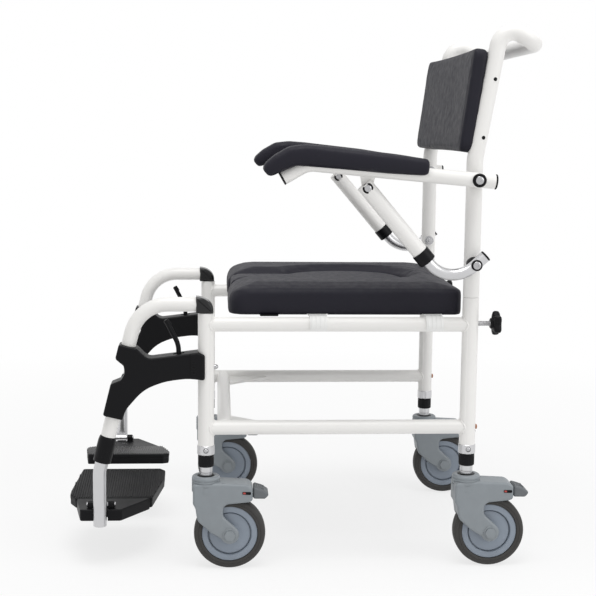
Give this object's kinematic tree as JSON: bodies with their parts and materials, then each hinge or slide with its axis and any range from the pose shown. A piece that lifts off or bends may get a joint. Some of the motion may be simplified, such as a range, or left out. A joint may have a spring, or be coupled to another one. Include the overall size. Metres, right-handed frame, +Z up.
{
  "type": "shower commode chair",
  "caption": "Wheeled shower commode chair with padded horseshoe seat and lift-out insert, flip-up arms, swing-away footrests, push bar and braked swivel casters.",
  "frame": {"origin": "on the floor under the middle of the chair's bounding box", "axes": "+Z up, -X to the front, -Y to the sitter's left"},
  "size_m": [0.8192, 0.587, 0.9422],
  "materials": {
    "black_plastic": "satin",
    "charcoal_foam": "satin",
    "grey_plastic": "satin",
    "pedal_plastic": "matte",
    "powder_coat": "satin",
    "satin_aluminium": "satin",
    "tyre_rubber": "matte",
    "white_plastic": "satin",
    "zinc_steel": "polished"
  },
  "bodies": {
    "frame": {"left_side_frame": "powder_coat", "right_side_frame": "powder_coat", "front_cross_tube": "powder_coat", "leg_collar_front_left": "black_plastic", "leg_collar_rear_left": "black_plastic", "leg_collar_front_right": "black_plastic", "leg_collar_rear_right": "black_plastic"},
    "back": {"back_frame": "powder_coat", "back_cushion": "charcoal_foam"},
    "seat": {"seat_base": "white_plastic", "seat_cushion": "charcoal_foam"},
    "insert": {"seat_insert": "charcoal_foam"},
    "knob_left": {"back_knob_left": "black_plastic"},
    "armrest_left": {"arm_rail_left": "powder_coat", "arm_pad_left": "charcoal_foam"},
    "strut_inner_left": {"strut_inner_left": "satin_aluminium"},
    "strut_outer_left": {"strut_outer_left": "powder_coat"},
    "hanger_left": {"hanger_elbow_left": "black_plastic", "hanger_tube_left": "powder_coat", "hanger_bracket_left": "black_plastic"},
    "hanger_release_left": {"hanger_lever_left": "black_plastic"},
    "foot_left": {"foot_tube_left": "satin_aluminium"},
    "plate_left": {"footplate_left": "black_plastic"},
    "button_front_left": {"height_button_front_left": "zinc_steel"},
    "leg_front_left": {"leg_tube_front_left": "satin_aluminium"},
    "caster_front_left": {"caster_fork_front_left": "grey_plastic"},
    "wheel_front_left": {"wheel_rim_front_left": "grey_plastic", "tyre_front_left": "tyre_rubber"},
    "brake_front_left": {"brake_pedal_front_left": "pedal_plastic"},
    "button_rear_left": {"height_button_rear_left": "zinc_steel"},
    "leg_rear_left": {"leg_tube_rear_left": "satin_aluminium"},
    "caster_rear_left": {"caster_fork_rear_left": "grey_plastic"},
    "wheel_rear_left": {"wheel_rim_rear_left": "grey_plastic", "tyre_rear_left": "tyre_rubber"},
    "brake_rear_left": {"brake_pedal_rear_left": "pedal_plastic"},
    "knob_right": {"back_knob_right": "black_plastic"},
    "armrest_right": {"arm_rail_right": "powder_coat", "arm_pad_right": "charcoal_foam"},
    "strut_inner_right": {"strut_inner_right": "satin_aluminium"},
    "strut_outer_right": {"strut_outer_right": "powder_coat"},
    "hanger_right": {"hanger_elbow_right": "black_plastic", "hanger_tube_right": "powder_coat", "hanger_bracket_right": "black_plastic"},
    "hanger_release_right": {"hanger_lever_right": "black_plastic"},
    "foot_right": {"foot_tube_right": "satin_aluminium"},
    "plate_right": {"footplate_right": "black_plastic"},
    "button_front_right": {"height_button_front_right": "zinc_steel"},
    "leg_front_right": {"leg_tube_front_right": "satin_aluminium"},
    "caster_front_right": {"caster_fork_front_right": "grey_plastic"},
    "wheel_front_right": {"wheel_rim_front_right": "grey_plastic", "tyre_front_right": "tyre_rubber"},
    "brake_front_right": {"brake_pedal_front_right": "pedal_plastic"},
    "button_rear_right": {"height_button_rear_right": "zinc_steel"},
    "leg_rear_right": {"leg_tube_rear_right": "satin_aluminium"},
    "caster_rear_right": {"caster_fork_rear_right": "grey_plastic"},
    "wheel_rear_right": {"wheel_rim_rear_right": "grey_plastic", "tyre_rear_right": "tyre_rubber"},
    "brake_rear_right": {"brake_pedal_rear_right": "pedal_plastic"}
  },
  "joints": [
    {"name": "back_lift", "type": "slide", "parent": "frame", "child": "back", "axis": [0, 0, 1], "range_m": [0, 0.06]},
    {"name": "seat_lift", "type": "slide", "parent": "frame", "child": "seat", "axis": [0, 0, 1], "range_m": [0, 0.06]},
    {"name": "insert_lift", "type": "slide", "parent": "seat", "child": "insert", "axis": [0, 0, 1], "range_m": [0, 0.06]},
    {"name": "knob_turn_left", "type": "hinge", "parent": "frame", "child": "knob_left", "pos_m": [0.293, -0.23, 0.432], "axis": [1, 0, 0], "continuous": true},
    {"name": "armrest_raise_left", "type": "hinge", "parent": "back", "child": "armrest_left", "pos_m": [0.293, -0.262, 0.681], "axis": [0, 1, 0], "range_deg": [0, 90]},
    {"name": "strut_lower_left", "type": "hinge", "parent": "back", "child": "strut_inner_left", "pos_m": [0.293, -0.262, 0.5375], "axis": [0, 1, 0], "range_deg": [0, 47.9]},
    {"name": "strut_upper_left", "type": "hinge", "parent": "armrest_left", "child": "strut_outer_left", "pos_m": [0.10501, -0.262, 0.66633], "axis": [0, 1, 0], "range_deg": [-42.2, 0]},
    {"name": "hanger_swing_left", "type": "hinge", "parent": "frame", "child": "hanger_left", "pos_m": [-0.1645, -0.23, 0.4645], "axis": [0, 0, 1], "range_deg": [0, 90]},
    {"name": "hanger_release_pull_left", "type": "hinge", "parent": "hanger_left", "child": "hanger_release_left", "pos_m": [-0.2115, -0.23, 0.37], "axis": [0, 1, 0], "range_deg": [0, 12], "stiffness_Nm_per_rad": 0.3, "springref_deg": -2.86},
    {"name": "foot_extend_left", "type": "slide", "parent": "hanger_left", "child": "foot_left", "axis": [-0.2402, 0, -0.9707], "range_m": [-0.018, 0.025]},
    {"name": "plate_flip_left", "type": "hinge", "parent": "foot_left", "child": "plate_left", "pos_m": [-0.34829, -0.2065, 0.1065], "axis": [1, 0, 0], "range_deg": [0, 85]},
    {"name": "button_press_front_left", "type": "slide", "parent": "frame", "child": "button_front_left", "axis": [0, 1, 0], "range_m": [0, 0.0024], "stiffness_N_per_m": 400, "springref_m": -0.001},
    {"name": "leg_extend_front_left", "type": "slide", "parent": "frame", "child": "leg_front_left", "axis": [0, 0, -1], "range_m": [0, 0.05]},
    {"name": "caster_swivel_front_left", "type": "hinge", "parent": "leg_front_left", "child": "caster_front_left", "pos_m": [-0.1645, -0.23, 0.165], "axis": [0, 0, 1], "continuous": true},
    {"name": "wheel_roll_front_left", "type": "hinge", "parent": "caster_front_left", "child": "wheel_front_left", "pos_m": [-0.123, -0.23, 0.0625], "axis": [0, 1, 0], "continuous": true},
    {"name": "brake_press_front_left", "type": "hinge", "parent": "caster_front_left", "child": "brake_front_left", "pos_m": [-0.091, -0.23, 0.127], "axis": [0, 1, 0], "range_deg": [0, 12]},
    {"name": "button_press_rear_left", "type": "slide", "parent": "frame", "child": "button_rear_left", "axis": [0, 1, 0], "range_m": [0, 0.0024], "stiffness_N_per_m": 400, "springref_m": -0.001},
    {"name": "leg_extend_rear_left", "type": "slide", "parent": "frame", "child": "leg_rear_left", "axis": [0, 0, -1], "range_m": [0, 0.05]},
    {"name": "caster_swivel_rear_left", "type": "hinge", "parent": "leg_rear_left", "child": "caster_rear_left", "pos_m": [0.293, -0.23, 0.165], "axis": [0, 0, 1], "continuous": true},
    {"name": "wheel_roll_rear_left", "type": "hinge", "parent": "caster_rear_left", "child": "wheel_rear_left", "pos_m": [0.3345, -0.23, 0.0625], "axis": [0, 1, 0], "continuous": true},
    {"name": "brake_press_rear_left", "type": "hinge", "parent": "caster_rear_left", "child": "brake_rear_left", "pos_m": [0.3665, -0.23, 0.127], "axis": [0, 1, 0], "range_deg": [0, 12]},
    {"name": "knob_turn_right", "type": "hinge", "parent": "frame", "child": "knob_right", "pos_m": [0.293, 0.23, 0.432], "axis": [1, 0, 0], "continuous": true},
    {"name": "armrest_raise_right", "type": "hinge", "parent": "back", "child": "armrest_right", "pos_m": [0.293, 0.262, 0.681], "axis": [0, 1, 0], "range_deg": [0, 90]},
    {"name": "strut_lower_right", "type": "hinge", "parent": "back", "child": "strut_inner_right", "pos_m": [0.293, 0.262, 0.5375], "axis": [0, 1, 0], "range_deg": [0, 47.9]},
    {"name": "strut_upper_right", "type": "hinge", "parent": "armrest_right", "child": "strut_outer_right", "pos_m": [0.10501, 0.262, 0.66633], "axis": [0, 1, 0], "range_deg": [-42.2, 0]},
    {"name": "hanger_swing_right", "type": "hinge", "parent": "frame", "child": "hanger_right", "pos_m": [-0.1645, 0.23, 0.4645], "axis": [0, 0, -1], "range_deg": [0, 90]},
    {"name": "hanger_release_pull_right", "type": "hinge", "parent": "hanger_right", "child": "hanger_release_right", "pos_m": [-0.2115, 0.23, 0.37], "axis": [0, 1, 0], "range_deg": [0, 12], "stiffness_Nm_per_rad": 0.3, "springref_deg": -2.86},
    {"name": "foot_extend_right", "type": "slide", "parent": "hanger_right", "child": "foot_right", "axis": [-0.2402, 0, -0.9707], "range_m": [0, 0.043]},
    {"name": "plate_flip_right", "type": "hinge", "parent": "foot_right", "child": "plate_right", "pos_m": [-0.34396, 0.2065, 0.12397], "axis": [-1, 0, 0], "range_deg": [0, 85]},
    {"name": "button_press_front_right", "type": "slide", "parent": "frame", "child": "button_front_right", "axis": [0, -1, 0], "range_m": [0, 0.0024], "stiffness_N_per_m": 400, "springref_m": -0.001},
    {"name": "leg_extend_front_right", "type": "slide", "parent": "frame", "child": "leg_front_right", "axis": [0, 0, -1], "range_m": [0, 0.05]},
    {"name": "caster_swivel_front_right", "type": "hinge", "parent": "leg_front_right", "child": "caster_front_right", "pos_m": [-0.1645, 0.23, 0.165], "axis": [0, 0, 1], "continuous": true},
    {"name": "wheel_roll_front_right", "type": "hinge", "parent": "caster_front_right", "child": "wheel_front_right", "pos_m": [-0.123, 0.23, 0.0625], "axis": [0, 1, 0], "continuous": true},
    {"name": "brake_press_front_right", "type": "hinge", "parent": "caster_front_right", "child": "brake_front_right", "pos_m": [-0.091, 0.23, 0.127], "axis": [0, 1, 0], "range_deg": [0, 12]},
    {"name": "button_press_rear_right", "type": "slide", "parent": "frame", "child": "button_rear_right", "axis": [0, -1, 0], "range_m": [0, 0.0024], "stiffness_N_per_m": 400, "springref_m": -0.001},
    {"name": "leg_extend_rear_right", "type": "slide", "parent": "frame", "child": "leg_rear_right", "axis": [0, 0, -1], "range_m": [0, 0.05]},
    {"name": "caster_swivel_rear_right", "type": "hinge", "parent": "leg_rear_right", "child": "caster_rear_right", "pos_m": [0.293, 0.23, 0.165], "axis": [0, 0, 1], "continuous": true},
    {"name": "wheel_roll_rear_right", "type": "hinge", "parent": "caster_rear_right", "child": "wheel_rear_right", "pos_m": [0.3345, 0.23, 0.0625], "axis": [0, 1, 0], "continuous": true},
    {"name": "brake_press_rear_right", "type": "hinge", "parent": "caster_rear_right", "child": "brake_rear_right", "pos_m": [0.3665, 0.23, 0.127], "axis": [0, 1, 0], "range_deg": [0, 12]}
  ],
  "couplings": [
    {"joint": "strut_lower_left", "follows": "armrest_raise_left", "ratio": 0.532},
    {"joint": "strut_upper_left", "follows": "armrest_raise_left", "ratio": -0.468},
    {"joint": "strut_lower_right", "follows": "armrest_raise_right", "ratio": 0.532},
    {"joint": "strut_upper_right", "follows": "armrest_raise_right", "ratio": -0.468}
  ]
}
